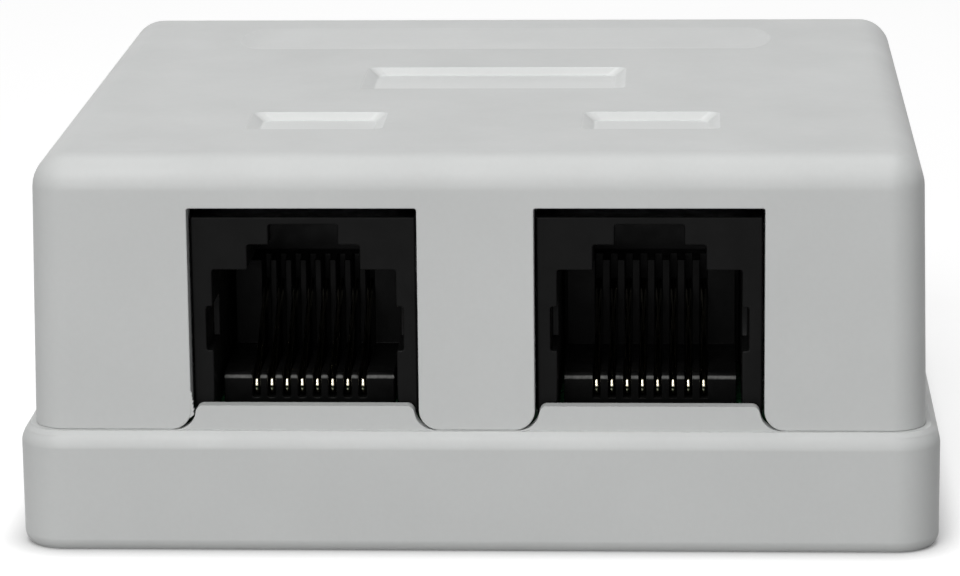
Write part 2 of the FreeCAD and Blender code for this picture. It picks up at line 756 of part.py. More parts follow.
def make_idc_block(name, x):
    body = make_body(f"{name}_idc_block", x, IDC_CENTRE, BOARD_TOP)
    block = rectangle("0", "0", "sizes.idc_width", IDC_LENGTH)
    pad(body, outline(body, "XY_Plane", block), "sizes.idc_height")
    first = f"({idc_step(0)})"
    throat = "(sizes.idc_height - sizes.wire_slot_throat)"
    over = "(sizes.idc_height + sizes.blade_gap)"
    mouth = "sizes.wire_slot_mouth / 2"
    slot = "sizes.wire_slot / 2"
    vee = [
        (f"{first} - {slot}", "sizes.wire_slot_floor"),
        (f"{first} - {slot}", throat),
        (f"{first} - {mouth}", over),
        (f"{first} + {mouth}", over),
        (f"{first} + {slot}", throat),
        (f"{first} + {slot}", "sizes.wire_slot_floor"),
    ]
    cut = pocket(body, outline(body, "YZ_Plane", vee), "sizes.idc_width", "both")
    repeat(body, cut, "Y_Axis", "sizes.idc_pitch", "sizes.idc_count")
    wide = "sizes.blade_thickness + 2 * sizes.blade_gap"
    long = "sizes.blade_width + 2 * sizes.blade_gap"
    slit = outline(body, "XY_Plane", rectangle("0", first, wide, long))
    cut = pocket(body, slit, "sizes.idc_height", "up")
    repeat(body, cut, "Y_Axis", "sizes.idc_pitch", "sizes.idc_count")


def make_blade(name, x, number):
    """A forked blade that strips and grips one conductor."""
    body = make_body(f"{name}_idc_contact_{number + 1}", x, f"{IDC_CENTRE} + {idc_step(number)}", BOARD_TOP)
    half, slot, pin = (f"sizes.blade_{name} / 2" for name in ("width", "slot", "pin"))
    fork = [
        ("sizes.blade_height", half),
        ("sizes.blade_height - sizes.blade_vee", slot),
        ("sizes.blade_slot_floor", slot),
    ]
    foot = [
        ("sizes.blade_foot", half),
        ("sizes.blade_foot", pin),
        ("-sizes.board_thickness - sizes.tail_drop", pin),
    ]
    right = [(y_place, z_place) for z_place, y_place in foot[::-1] + fork]
    left = [(f"-{y_place}", z_place) for y_place, z_place in right[::-1]]
    pad(body, outline(body, "YZ_Plane", right + left), "sizes.blade_thickness", "both")


def make_cap(name, x):
    body = make_body(f"{name}_wire_cap", x, IDC_CENTRE, f"{BOARD_TOP} + sizes.idc_height")
    width = "sizes.idc_width + 2 * sizes.cap_gap"
    length = f"{IDC_LENGTH} + 2 * sizes.cap_gap"
    wall = "2 * sizes.cap_wall"
    outer = rectangle("0", "0", f"{width} + {wall}", f"{length} + {wall}")
    pad(body, outline(body, "XY_Plane", outer, "-sizes.cap_skirt"), "sizes.cap_skirt + sizes.cap_roof")
    inner = rectangle("0", "0", width, length)
    pocket(body, outline(body, "XY_Plane", inner, "-sizes.cap_skirt"), "sizes.cap_skirt", "up")
    first = f"({idc_step(0)})"
    middle = "(sizes.cap_notch_height / 2 - sizes.cap_skirt)"
    notch = rectangle(first, middle, "sizes.cap_notch", "sizes.cap_notch_height")
    cut = pocket(body, outline(body, "YZ_Plane", notch), f"{width} + {wall}", "both")
    repeat(body, cut, "Y_Axis", "sizes.idc_pitch", "sizes.idc_count")


# ---- the board screws: two alike in one group ----

def make_screw(side, sign):
    body = make_body(f"{side}_screw", f"{sign}{PORT_X}", f"{BOARD_FRONT} + sizes.screw_setback", BOARD_TOP)
    section = [
        ("0", "-sizes.screw_length"),
        ("sizes.screw_radius", "-sizes.screw_length"),
        ("sizes.screw_radius", "0"),
        ("sizes.screw_head_radius", "0"),
        ("sizes.screw_head_radius", "sizes.screw_head_height - sizes.screw_head_bevel"),
        ("sizes.screw_head_radius - sizes.screw_head_bevel", "sizes.screw_head_height"),
        ("0", "sizes.screw_head_height"),
    ]
    profile = outline(body, "XZ_Plane", section)
    turned = body.newObject("PartDesign::Revolution", "turned")
    turned.Profile = profile
    turned.ReferenceAxis = (profile, ["V_Axis"])
    turned.recompute(True)
    long, slot = "sizes.screw_slot_length", "sizes.screw_slot"
    for width, length in ((long, slot), (slot, long)):
        sketch = outline(body, "XY_Plane", rectangle("0", "0", width, length), "sizes.screw_head_height")
        pocket(body, sketch, "sizes.screw_slot_depth")
    return body


def make_screws():
    group = doc.addObject("Part::Compound", "board_screws")
    group.Label = "board_screws"
    group.Links = [make_screw(*side) for side in SIDES]


def make_port(side, sign):
    x = f"{sign}{PORT_X}"
    make_board(side, x)
    make_jack(side, x)
    make_carrier(side, x)
    rows = [behind for behind, _ in tail_rows()]
    for number in range(int(value("sizes.contact_count"))):
        make_contact(side, x, number, rows[number % 2])
    for row, row_sign in ROWS:
        name = f"{side}_{row}"
        row_x = f"{sign}({PORT_X} {row_sign} sizes.idc_row_spacing / 2)"
        make_idc_block(name, row_x)
        make_cap(name, row_x)
        for number in range(int(value("sizes.idc_count"))):
            make_blade(name, row_x, number)


def finished_parts():
    loose = {link.Name for item in doc.Objects if item.TypeId == "Part::Compound" for link in item.Links}
    kinds = ("PartDesign::Body", "Part::Compound")
    return [item for item in doc.Objects if item.TypeId in kinds and item.Name not in loose]


def export_parts():
    doc.recompute()
    for item in doc.Objects:
        if "Invalid" in item.State or "Error" in item.State:
            raise ValueError(f"{item.Label} did not compute: {item.State}")
    parts = finished_parts()
    for part in parts:
        if part.Shape.isNull() or not part.Shape.isValid():
            raise ValueError(f"{part.Label} has no valid shape")
    os.makedirs("parts", exist_ok=True)
    for part in parts:
        part.Shape.exportStep(f"parts/{part.Label}.step")
    print(len(parts), "parts written")


make_base()
make_cover()
for port in SIDES:
    make_port(*port)
make_screws()
export_parts()
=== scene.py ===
import math

import bmesh
import bpy
from bpy.props import FloatProperty, FloatVectorProperty, PointerProperty
from mathutils import Matrix, Vector


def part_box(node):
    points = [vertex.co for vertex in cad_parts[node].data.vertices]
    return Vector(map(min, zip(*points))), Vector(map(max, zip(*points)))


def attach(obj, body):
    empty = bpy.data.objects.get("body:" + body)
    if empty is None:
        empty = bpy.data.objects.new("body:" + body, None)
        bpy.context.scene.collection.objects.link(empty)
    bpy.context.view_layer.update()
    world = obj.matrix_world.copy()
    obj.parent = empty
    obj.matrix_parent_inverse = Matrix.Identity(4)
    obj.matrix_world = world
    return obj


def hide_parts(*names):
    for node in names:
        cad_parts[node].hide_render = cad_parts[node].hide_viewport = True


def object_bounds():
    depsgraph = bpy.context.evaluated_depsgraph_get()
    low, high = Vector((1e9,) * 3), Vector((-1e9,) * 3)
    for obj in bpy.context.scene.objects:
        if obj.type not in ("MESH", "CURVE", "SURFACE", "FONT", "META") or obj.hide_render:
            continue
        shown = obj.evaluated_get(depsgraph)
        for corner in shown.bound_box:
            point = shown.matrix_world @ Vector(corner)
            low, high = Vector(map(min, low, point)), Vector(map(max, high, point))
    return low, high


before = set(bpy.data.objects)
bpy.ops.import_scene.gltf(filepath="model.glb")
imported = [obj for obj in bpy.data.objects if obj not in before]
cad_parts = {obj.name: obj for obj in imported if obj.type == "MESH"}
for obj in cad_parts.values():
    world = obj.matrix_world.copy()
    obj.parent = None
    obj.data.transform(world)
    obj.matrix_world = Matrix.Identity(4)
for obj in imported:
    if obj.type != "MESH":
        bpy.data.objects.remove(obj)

bl_info = {
    "name": "Surface Mount Jack Box",
    "version": (1, 0, 0),
    "blender": (4, 5, 0),
    "location": "View3D > Sidebar > Jack Box",
    "description": "Dresses a two-port surface mount jack box, from its housing to its punch-down blocks",
    "category": "Add Mesh",
}

MM = 0.001
MICRON = 0.001 * MM
NEAR = 10.0 * MICRON
WELD = 0.1 * MICRON
FLAT = math.radians(1.0)
SHARP = math.radians(30.0)
SIDES = (("left", -1), ("right", 1))
ROWS = ("inner", "outer")
WIRES = range(1, 9)
BLADES = range(1, 5)
CAD_LOW, CAD_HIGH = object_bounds()

# How far the flash's ragged edge stands out, from its foot up, as shares of its reach.
FLASH_EDGE = (-0.4, 0.6, 0.9, 0.5, 1.0, 0.55, 0.75, 0.35, 0.8, 0.3, 0.5, 0.15, 0.4, 0.0)

# Each lamp's name, place, width, height and power. All point at the middle of the box.
LAMPS = (
    ("key", (-0.13, -0.42, 0.50), 0.35, 0.35, 2.14),
    ("top", (0.0, 0.05, 0.70), 0.50, 0.50, 1.98),
    ("front", (-0.12, -0.70, 0.18), 0.30, 0.20, 1.35),
)


# ---- sizes and colours ----

def length(name, description, millimetres):
    default = millimetres * MM
    return FloatProperty(name=name, description=description, default=default, min=0.0, unit="LENGTH")


def angle(name, description, degrees):
    return FloatProperty(name=name, description=description, default=math.radians(degrees), subtype="ANGLE")


def colour(name, description, red, green, blue):
    return FloatVectorProperty(
        name=name,
        description=description,
        default=(red, green, blue),
        min=0.0,
        max=1.0,
        size=3,
        subtype="COLOR",
    )


class CoverSizes(bpy.types.PropertyGroup):
    seam: length("Seam height", "Height of the seam between base and cover", 8.1)
    wall: length("Wall", "Thickness of the walls and the roof", 1.9)
    round: length("Rounding", "Radius of the outer corners and top edges", 2.3)
    inner_corner: length("Inner corner", "Radius of the upright corners inside", 1.0)
    draft: angle("Draft", "Lean of the walls", 1.0)
    edge: length("Edge softness", "Rounding of the sharp moulded edges", 0.16)
    port_spacing: length("Port spacing", "Distance between the two port centres", 22.7)
    port_width: length("Port width", "Width of a port opening", 15.05)
    port_top: length("Port top", "Height of a port's top edge over the table", 22.97)
    port_foot: length("Port foot", "Radius of the sweep at a port's foot", 1.35)
    port_foot_flat: length("Port foot flat", "Level stretch beyond the sweep at a port's foot", 0.125)
    port_corner: length("Port corner", "Radius of a port's top corners", 0.15)
    pocket_depth: length("Recess depth", "Depth of the three shallow recesses", 0.6)
    pocket_corner: length("Recess corner", "Radius of the recess corners", 0.5)
    pocket_slope: length("Recess slope", "How far a recess's long walls lean in", 0.14)
    pocket_end_slope: length("Recess end slope", "How far a recess's end walls lean in", 0.75)
    side_pocket_width: length("Side recess width", "Width of a recess over a port", 9.3)
    side_pocket_length: length("Side recess length", "Front to back size of a recess over a port", 5.95)
    side_pocket_setback: length("Side recess setback", "From the cover's front to a side recess", 9.7)
    centre_pocket_width: length("Centre recess width", "Width of the middle recess", 18.7)
    centre_pocket_length: length("Centre recess length", "Front to back size of the middle recess", 8.2)
    centre_pocket_setback: length("Centre recess setback", "From the cover's front to this recess", 24.3)
    scoop_width: length("Scoop width", "Width of the finger scoop", 40.0)
    scoop_length: length("Scoop length", "Front to back size of the finger scoop", 9.0)
    scoop_depth: length("Scoop depth", "Depth of the finger scoop", 0.35)
    scoop_setback: length("Scoop setback", "From the cover's rear to the scoop's middle", 10.6)
    scoop_end: length("Scoop end", "Radius of the scoop's soft ends", 6.0)
    flash_foot: length("Flash foot", "Height of the flash's foot over the seam", 0.81)
    flash_height: length("Flash height", "Length of the ragged moulding flash at the left port", 1.9)
    flash_reach: length("Flash reach", "How far the flash stands out", 0.2)
    flash_thickness: length("Flash thickness", "Thickness of the flash", 0.3)
    tab_width: length("Tab width", "Width of a snap tab", 7.0)
    tab_thickness: length("Tab thickness", "Thickness of a snap tab", 1.5)
    tab_drop: length("Tab drop", "How far a tab hangs below the seam", 4.5)
    tab_rise: length("Tab rise", "How far a tab's root climbs the wall", 6.0)
    tab_lead: length("Tab lead", "Bevel at a tab's tip", 0.6)
    tab_wall: length("Base wall", "Thickness of the base wall that the tabs hang inside", 2.0)
    tab_gap: length("Tab gap", "Clearance between a tab and the base wall", 0.15)
    side_tab_spacing: length("Side tab spacing", "Between the two tabs of one side", 30.0)
    rear_tab_spacing: length("Rear tab spacing", "Between the two rear tabs", 36.0)
    rib_width: length("Rib width", "Width of the hold-down ribs over the jacks", 12.0)
    rib_thickness: length("Rib thickness", "Thickness of a hold-down rib", 1.2)
    rib_gap: length("Rib gap", "Clearance between a rib and its jack", 0.25)
    rib_setback: length("Rib setback", "From a jack's face to its first rib", 4.0)
    rib_spacing: length("Rib spacing", "Between the two ribs over a jack", 7.0)


class BaseSizes(bpy.types.PropertyGroup):
    rim_level: length("Rim level", "Height at which the rim's bevel begins", 7.5)
    rim_round: length("Rim rounding", "Softening where the rim's bevel begins", 0.56)
    foot_level: length("Foot level", "Height at which the foot's bevel ends", 0.4)
    foot_round: length("Foot rounding", "Softening where the foot's bevel ends", 0.4)
    outer_reach: length("Outer reach", "How far in from the sides the rim and the foot lie", 1.5)


class JackSizes(bpy.types.PropertyGroup):
    wire_radius: length("Wire radius", "Radius of a contact wire", 0.2)
    wire_bend: length("Wire bend", "Radius of a wire's bends, along its middle", 0.45)
    wire_rise: angle("Wire rise", "Slope of a wire's sprung end", 33.0)
    wire_height: length("Wire height", "From a jack's underside to its wires", 0.55)
    tail_setback: length("Tail setback", "From a jack's face to its odd wires' tails", 9.5)
    tail_stagger: length("Tail stagger", "How much further back the even wires' tails stand", 2.0)
    nose_setback: length("Nose setback", "From a jack's face to where its wires turn round", 2.8)
    tip_setback: length("Tip setback", "From a jack's face to the ends of its wires", 11.2)
    lip_rise: length("Lip rise", "From a carrier's lowest point to the top of its front comb", 4.3)
    # The band along the front comb's top edge is a painted glint: pale grey painted on where the edge
    # catches the light.
    lip_glint_reach: length("Lip wear", "Reach of the rubbed band along the front comb's top edge", 0.13)


class SolderSizes(bpy.types.PropertyGroup):
    pad_radius: length("Pad radius", "Radius of a pad on top of a board", 0.42)
    pad_height: length("Pad height", "Height of a pad on top of a board", 0.04)
    joint_foot: length("Joint foot", "Radius of a solder joint at its free end", 0.26)
    joint_root: length("Joint root", "Radius of a solder joint against the board", 0.45)
    joint_height: length("Joint height", "Height of a solder joint under a board", 0.6)
    sink: length("Sink", "How deep pads and joints sit in the board", 0.01)


class EdgeSizes(bpy.types.PropertyGroup):
    base: length("Base edges", "Softening of the base's edges", 0.22)
    jack: length("Jack edges", "Softening of a jack housing's edges", 0.12)
    carrier: length("Carrier edges", "Softening of a contact carrier's edges", 0.10)
    board: length("Board edges", "Softening of a board's edges", 0.06)
    block: length("Block edges", "Softening of a punch-down block's edges", 0.12)
    cap: length("Cap edges", "Softening of a wire cap's edges", 0.14)
    blade: length("Blade edges", "Softening of a blade's edges", 0.05)
    screw: length("Screw edges", "Softening of the board screws' edges", 0.08)


class FinishColours(bpy.types.PropertyGroup):
    housing: colour("Housing", "Moulded plastic of base and cover", 0.56, 0.57, 0.565)
    jack: colour("Jack", "Black plastic of jacks and carriers", 0.0022, 0.0022, 0.0022)
    # Colour of the painted glint: a pale grey band painted along the front comb's top edge where it catches
    # the light.
    rubbed: colour("Rubbed", "Worn edge of the black plastic", 0.16, 0.16, 0.155)
    gold: colour("Gold", "Plating of the contact wires", 0.84, 0.78, 0.60)
    tin: colour("Tin", "Plating of the punch-down blades", 0.72, 0.71, 0.68)
    zinc: colour("Zinc", "Plating of the board screws", 0.6, 0.6, 0.57)
    mask: colour("Solder mask", "Lacquer of the circuit boards", 0.008, 0.055, 0.02)
    block: colour("Block", "Plastic of the punch-down blocks", 0.70, 0.68, 0.62)
    cap: colour("Cap", "Plastic of the wire caps", 0.60, 0.62, 0.63)
    floor: colour("Floor", "The pale table under the box", 0.42, 0.42, 0.42)


class StageSettings(bpy.types.PropertyGroup):
    camera_across: length("Camera across", "Camera to the right of the middle", 14.19)
    camera_back: length("Camera back", "Camera in front of the box's middle", 284.03)
    camera_up: length("Camera up", "Camera height", 79.58)
    turn: angle("Turn", "Camera turn to the left", 3.098)
    dip: angle("Dip", "Camera tilt down", 13.536)
    roll: angle("Roll", "Camera roll", -0.659)
    lens: FloatProperty(name="Lens", description="Focal length", default=151.78, unit="CAMERA")


class JackBoxSettings(bpy.types.PropertyGroup):
    cover: PointerProperty(type=CoverSizes)
    base: PointerProperty(type=BaseSizes)
    jack: PointerProperty(type=JackSizes)
    solder: PointerProperty(type=SolderSizes)
    edges: PointerProperty(type=EdgeSizes)
    colours: PointerProperty(type=FinishColours)
    stage: PointerProperty(type=StageSettings)


# ---- mesh helpers ----

def add_box(bm, low, high):
    """A box between two corners. Returns its vertices."""
    low, high = Vector(low), Vector(high)
    verts = bmesh.ops.create_cube(bm, size=1.0)["verts"]
    bmesh.ops.scale(bm, vec=high - low, verts=verts)
    bmesh.ops.translate(bm, vec=(low + high) / 2, verts=verts)
    return verts


def add_prism(bm, corners, axis, start, end):
    """A face through the corners, drawn across an axis at start and pulled to end."""
    other = [index for index in range(3) if index != axis]
    verts = []
    for corner in corners:
        place = Vector((0.0, 0.0, 0.0))
        place[axis] = start
        place[other[0]], place[other[1]] = corner
        verts.append(bm.verts.new(place))
    face = bm.faces.new(verts)
    pull = Vector((0.0, 0.0, 0.0))
    pull[axis] = end - start
    pulled = bmesh.ops.extrude_face_region(bm, geom=[face], use_keep_orig=True)["geom"]
    new_verts = [item for item in pulled if isinstance(item, bmesh.types.BMVert)]
    bmesh.ops.translate(bm, vec=pull, verts=new_verts)
    return verts + new_verts


def edges_along(verts, axis, test=None):
    """The edges between these vertices that run along an axis."""
    chosen = []
    inside = set(verts)
    for vert in verts:
        for edge in vert.link_edges:
            span = edge.verts[1].co - edge.verts[0].co
            if edge.other_vert(vert) in inside and abs(span[axis]) > 0.9 * span.length:
                if edge not in chosen and (test is None or test((edge.verts[0].co + edge.verts[1].co) / 2)):
                    chosen.append(edge)
    return chosen


def bevel(bm, edges, radius, segments, clamp=True):
    """Rounds these edges."""
    bmesh.ops.bevel(
        bm,
        geom=edges,
        offset=radius,
        offset_type="OFFSET",
        segments=segments,
        profile=0.5,
        affect="EDGES",
        material=-1,
        clamp_overlap=clamp,
    )


def new_piece(bm, name):
    """Ends a mesh and makes it an object."""
    mesh = bpy.data.meshes.new(name)
    bm.to_mesh(mesh)
    bm.free()
    piece = bpy.data.objects.new(name, mesh)
    bpy.context.scene.collection.objects.link(piece)
    return piece


def to_object(bm, name):
    """Welds a mesh, turns its normals outward and makes it an object."""
    bmesh.ops.remove_doubles(bm, verts=bm.verts, dist=WELD)
    bmesh.ops.recalc_face_normals(bm, faces=bm.faces)
    return new_piece(bm, name)


def apply_modifiers(piece):
    """Turns the piece's modifiers into its mesh."""
    depsgraph = bpy.context.evaluated_depsgraph_get()
    mesh = bpy.data.meshes.new_from_object(piece.evaluated_get(depsgraph))
    piece.modifiers.clear()
    old = piece.data
    piece.data = mesh
    bpy.data.meshes.remove(old)


def combine(piece, others, operation):
    """Cuts the others from a piece, or joins them to it, and deletes them."""
    for other in others:
        modifier = piece.modifiers.new("combine", "BOOLEAN")
        modifier.object = other
        modifier.operation = operation
        modifier.solver = "EXACT"
        modifier.material_mode = "TRANSFER"
    apply_modifiers(piece)
    for other in others:
        bpy.data.objects.remove(other)


def soften(piece, width, segments=2):
    """Smooth shading with a small rounding on every sharp edge."""
    piece.data.shade_smooth()
    rounding = piece.modifiers.new("soft edges", "BEVEL")
    rounding.width = width
    rounding.segments = segments
    rounding.limit_method = "ANGLE"
    rounding.angle_limit = SHARP
    rounding.miter_outer = "MITER_ARC"
    rounding.use_clamp_overlap = True
    weigh = piece.modifiers.new("face weights", "WEIGHTED_NORMAL")
    weigh.mode = "FACE_AREA"
    weigh.weight = 100
    weigh.keep_sharp = True


def merged_copy(node, name):
    """A copy of a CAD node with whole faces in place of its loose triangles."""
    bm = bmesh.new()
    bm.from_mesh(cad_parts[node].data)
    bmesh.ops.remove_doubles(bm, verts=bm.verts, dist=WELD)
    bmesh.ops.dissolve_limit(bm, angle_limit=FLAT, verts=bm.verts, edges=bm.edges)
    return new_piece(bm, name)


def dress(piece, body, nodes, slot, *materials):
    """Puts a finished piece on its body with its finish, in place of CAD nodes if it has any."""
    for material in materials:
        piece.data.materials.append(material)
    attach(piece, body)
    if nodes:
        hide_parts(*nodes)


# ---- material helpers ----

class Nodes:
    """Adds nodes to one material and links them by socket name."""

    def __init__(self, name):
        self.material = bpy.data.materials.get(name) or bpy.data.materials.new(name)
        self.material.use_nodes = True
        self.tree = self.material.node_tree
        self.tree.nodes.clear()
        self.output = self.tree.nodes.new("ShaderNodeOutputMaterial")
        self.place = self.tree.nodes.new("ShaderNodeTexCoord").outputs["Object"]

    def link(self, source, target):
        self.tree.links.new(source, target)

    def add(self, kind, values=None, **settings):
        node = self.tree.nodes.new(kind)
        for name, setting in settings.items():
            setattr(node, name, setting)
        for name, content in (values or {}).items():
            if isinstance(content, bpy.types.NodeSocket):
                self.link(content, node.inputs[name])
            else:
                node.inputs[name].default_value = content
        return node

    def noise(self, scale, detail=3.0, roughness=0.5):
        values = {"Vector": self.place, "Scale": scale, "Detail": detail, "Roughness": roughness}
        return self.add("ShaderNodeTexNoise", values).outputs["Fac"]

    def spread(self, source, low, high, from_low=0.3, from_high=0.7):
        """Stretches a grey value to run from low to high."""
        values = {"Value": source, "From Min": from_low, "From Max": from_high}
        values.update({"To Min": low, "To Max": high})
        return self.add("ShaderNodeMapRange", values).outputs["Result"]

    def calculate(self, operation, first, second=0.0):
        return self.add("ShaderNodeMath", {0: first, 1: second}, operation=operation).outputs["Value"]

    def shade(self, base, factor):
        """A plain colour made darker or lighter by a grey factor."""
        grey = self.add("ShaderNodeCombineColor", {"Red": factor, "Green": factor, "Blue": factor})
        values = {"Factor": 1.0, "A": (*base, 1.0), "B": grey.outputs["Color"]}
        mixed = self.add("ShaderNodeMix", values, data_type="RGBA", blend_type="MULTIPLY")
        return mixed.outputs["Result"]

    def mix(self, factor, first, second):
        """Blends from a shaded colour to a plain one as the factor goes from 0 to 1."""
        values = {"Factor": factor, "A": first, "B": (*second, 1.0)}
        return self.add("ShaderNodeMix", values, data_type="RGBA").outputs["Result"]

    def bump(self, height, depth, normal=None):
        """A relief this deep, over a normal that may have its own."""
        values = {"Height": height, "Distance": depth, "Strength": 1.0}
        if normal:
            values["Normal"] = normal
        return self.add("ShaderNodeBump", values).outputs["Normal"]

    def surface(self, colour, roughness, normal, metallic=0.0, **sockets):
        """Ends the material with one shader, and returns it."""
        values = {"Base Color": colour, "Roughness": roughness, "Normal": normal, "Metallic": metallic}
        shader = self.add("ShaderNodeBsdfPrincipled", values)
        for name, content in sockets.items():
            shader.inputs[name.replace("_", " ")].default_value = content
        self.link(shader.outputs["BSDF"], self.output.inputs["Surface"])
        return self.material


def housing_material(name, base, smooth, rough, relief=1.0):
    """Injection-moulded plastic: faint clouding, a fine grain and rubbed patches."""
    nodes = Nodes(name)
    clouds = nodes.spread(nodes.noise(scale=90.0, detail=4.0), 0.975, 1.025)
    specks = nodes.spread(nodes.noise(scale=2600.0, detail=2.0), 0.992, 1.008)
    tone = nodes.shade(base, nodes.calculate("MULTIPLY", clouds, specks))
    rubbed = nodes.spread(nodes.noise(scale=160.0, detail=5.0, roughness=0.62), smooth, rough)
    grain = nodes.bump(nodes.noise(scale=5200.0, detail=3.0), 2.5 * MICRON * relief)
    sink = nodes.bump(nodes.noise(scale=120.0, detail=1.0), 20.0 * MICRON * relief, grain)
    return nodes.surface(tone, rubbed, sink, IOR=1.52)


def jack_material(name, base, shine, painted_glint_edge=None):
    """Black glass-filled plastic with a faint flow pattern.

    A painted glint edge is the Y and Z of a level edge, how far the painted glint band reaches and its
    colour.
    """
    nodes = Nodes(name)
    flow = nodes.spread(nodes.noise(scale=420.0, detail=5.0, roughness=0.6), 0.7, 1.6)
    tone = nodes.shade(base, flow)
    if painted_glint_edge:
        front, top, reach, glint_tone = painted_glint_edge
        # Painted glint: the colour turns pale grey in a band along the edge, standing in for the light the
        # edge catches.
        place = nodes.add("ShaderNodeSeparateXYZ", {"Vector": nodes.place})
        behind = nodes.calculate("SUBTRACT", place.outputs["Y"], front)
        below = nodes.calculate("ABSOLUTE", nodes.calculate("SUBTRACT", place.outputs["Z"], top))
        away = nodes.calculate("MAXIMUM", behind, below)
        patchy = nodes.spread(nodes.noise(scale=2500.0, detail=2.0), 0.5, 1.0)
        rubbed = nodes.calculate("MULTIPLY", nodes.spread(away, 1.0, 0.0, 0.5 * reach, reach), patchy)
        tone = nodes.mix(rubbed, tone, glint_tone)
    rough = nodes.spread(nodes.noise(scale=900.0, detail=3.0), 0.32, 0.5)
    grain = nodes.bump(nodes.noise(scale=6000.0, detail=3.0), 3.0 * MICRON)
    return nodes.surface(tone, rough, grain, IOR=1.5, Specular_IOR_Level=shine)


def metal_material(name, base, low, high, scale, depth):
    """Plated metal with drawn streaks and an uneven shine."""
    nodes = Nodes(name)
    tone = nodes.shade(base, nodes.spread(nodes.noise(scale=scale, detail=4.0), 0.88, 1.05))
    rough = nodes.spread(nodes.noise(scale=scale * 3, detail=3.0), low, high)
    grain = nodes.bump(nodes.noise(scale=scale * 6, detail=2.0), depth)
    return nodes.surface(tone, rough, grain, metallic=1.0)


def mask_material(base):
    """Green solder mask over woven laminate: the weave shows as a faint relief."""
    nodes = Nodes("solder mask")
    weave = nodes.add("ShaderNodeTexVoronoi", {"Vector": nodes.place, "Scale": 1400.0}).outputs["Distance"]
    tone = nodes.shade(base, nodes.spread(nodes.noise(scale=500.0, detail=4.0), 0.8, 1.25))
    rough = nodes.spread(nodes.noise(scale=700.0, detail=3.0), 0.22, 0.36)
    return nodes.surface(tone, rough, nodes.bump(weave, 4.0 * MICRON), IOR=1.55)


def block_material(name, base):
    """Semi-gloss engineering plastic with soft flow lines."""
    nodes = Nodes(name)
    tone = nodes.shade(base, nodes.spread(nodes.noise(scale=260.0, detail=4.0), 0.93, 1.04))
    rough = nodes.spread(nodes.noise(scale=500.0, detail=4.0), 0.28, 0.44)
    grain = nodes.bump(nodes.noise(scale=4200.0, detail=3.0), 3.0 * MICRON)
    return nodes.surface(tone, rough, grain, IOR=1.5)


def seen_rays(tree):
    """One for the rays that see the white surround: to the eye, and through shine and glass."""
    path = tree.nodes.new("ShaderNodeLightPath")
    seen = path.outputs["Is Camera Ray"]
    for name in ("Is Glossy Ray", "Is Transmission Ray"):
        larger = tree.nodes.new("ShaderNodeMath")
        larger.operation = "MAXIMUM"
        tree.links.new(seen, larger.inputs[0])
        tree.links.new(path.outputs[name], larger.inputs[1])
        seen = larger.outputs["Value"]
    return seen


def floor_material(base):
    """A matt pale table, white to the eye apart from the shadow at the box's foot."""
    nodes = Nodes("pale table")
    tone = nodes.shade(base, nodes.spread(nodes.noise(scale=40.0, detail=4.0), 0.995, 1.005))
    matt = nodes.add("ShaderNodeBsdfDiffuse", {"Color": tone})
    glow = nodes.add("ShaderNodeEmission", {"Color": (1.0, 1.0, 1.0, 1.0)})
    # Painted contact shadow: the glow dims where the box shuts out the open sky near its foot.
    open_sky = nodes.add("ShaderNodeAmbientOcclusion", {"Distance": 2.5 * MM}, samples=16).outputs["AO"]
    shaded = nodes.spread(open_sky, low=0.15, high=0.72, from_low=0.3, from_high=0.95)
    nodes.link(nodes.calculate("MULTIPLY", seen_rays(nodes.tree), shaded), glow.inputs["Strength"])
    both = nodes.add("ShaderNodeAddShader", {0: matt.outputs["BSDF"], 1: glow.outputs["Emission"]})
    nodes.link(both.outputs["Shader"], nodes.output.inputs["Surface"])
    return nodes.material


# ---- cover ----

def cover_block(name, low, high, draft, radius, segments, rounded_top=False):
    """An upright block whose walls lean in, with rounded corners and perhaps rounded top edges."""
    bm = bmesh.new()
    verts = add_box(bm, low, high)
    lean = math.tan(draft) * (high[2] - low[2])
    top = [vert for vert in verts if vert.co.z > (low[2] + high[2]) / 2]
    bmesh.ops.scale(bm, vec=((high[0] - lean) / high[0], (high[1] - lean) / high[1], 1.0), verts=top)
    edges = edges_along(verts, 2)
    if rounded_top:
        for axis in (0, 1):
            edges += edges_along(top, axis)
    bevel(bm, edges, radius, segments)
    return to_object(bm, name)


def port_cutter(sizes, sign, front):
    """The outline of a port opening, which flares out at its foot."""
    x = sign * sizes.port_spacing / 2
    half = sizes.port_width / 2
    reach = half + sizes.port_foot + sizes.port_foot_flat
    foot, top = sizes.seam, sizes.port_top
    low = foot - sizes.wall
    corners = [(x - reach, low), (x - reach, foot), (x - half, foot), (x - half, top)]
    corners += [(x + half, top), (x + half, foot), (x + reach, foot), (x + reach, low)]
    bm = bmesh.new()
    verts = add_prism(bm, corners, 1, front - sizes.wall, front + 2 * sizes.wall)
    jambs = edges_along(verts, 1, lambda spot: abs(spot.z - foot) < NEAR and abs(spot.x - x) < reach - NEAR)
    bevel(bm, jambs, sizes.port_foot, segments=10)
    heads = edges_along(list(bm.verts), 1, lambda spot: abs(spot.z - top) < NEAR)
    bevel(bm, heads, sizes.port_corner, segments=4)
    return to_object(bm, "port cutter")


def recess_cutter(sizes, x, y, width, depth, top):
    """A block whose walls slope, so that it is its full width at the roof."""
    bm = bmesh.new()
    sunk = sizes.pocket_depth
    reach = Vector((width / 2 + sizes.pocket_end_slope, depth / 2 + sizes.pocket_slope))
    verts = add_box(bm, (x - reach.x, y - reach.y, top - sunk), (x + reach.x, y + reach.y, top + sunk))
    for vert in verts:
        if vert.co.z < top:
            vert.co.x -= math.copysign(2 * sizes.pocket_end_slope, vert.co.x - x)
            vert.co.y -= math.copysign(2 * sizes.pocket_slope, vert.co.y - y)
    walls = [edge for edge in bm.edges if abs(edge.verts[0].co.z - edge.verts[1].co.z) > sunk]
    bevel(bm, walls, sizes.pocket_corner, segments=5)
    return to_object(bm, "recess cutter")


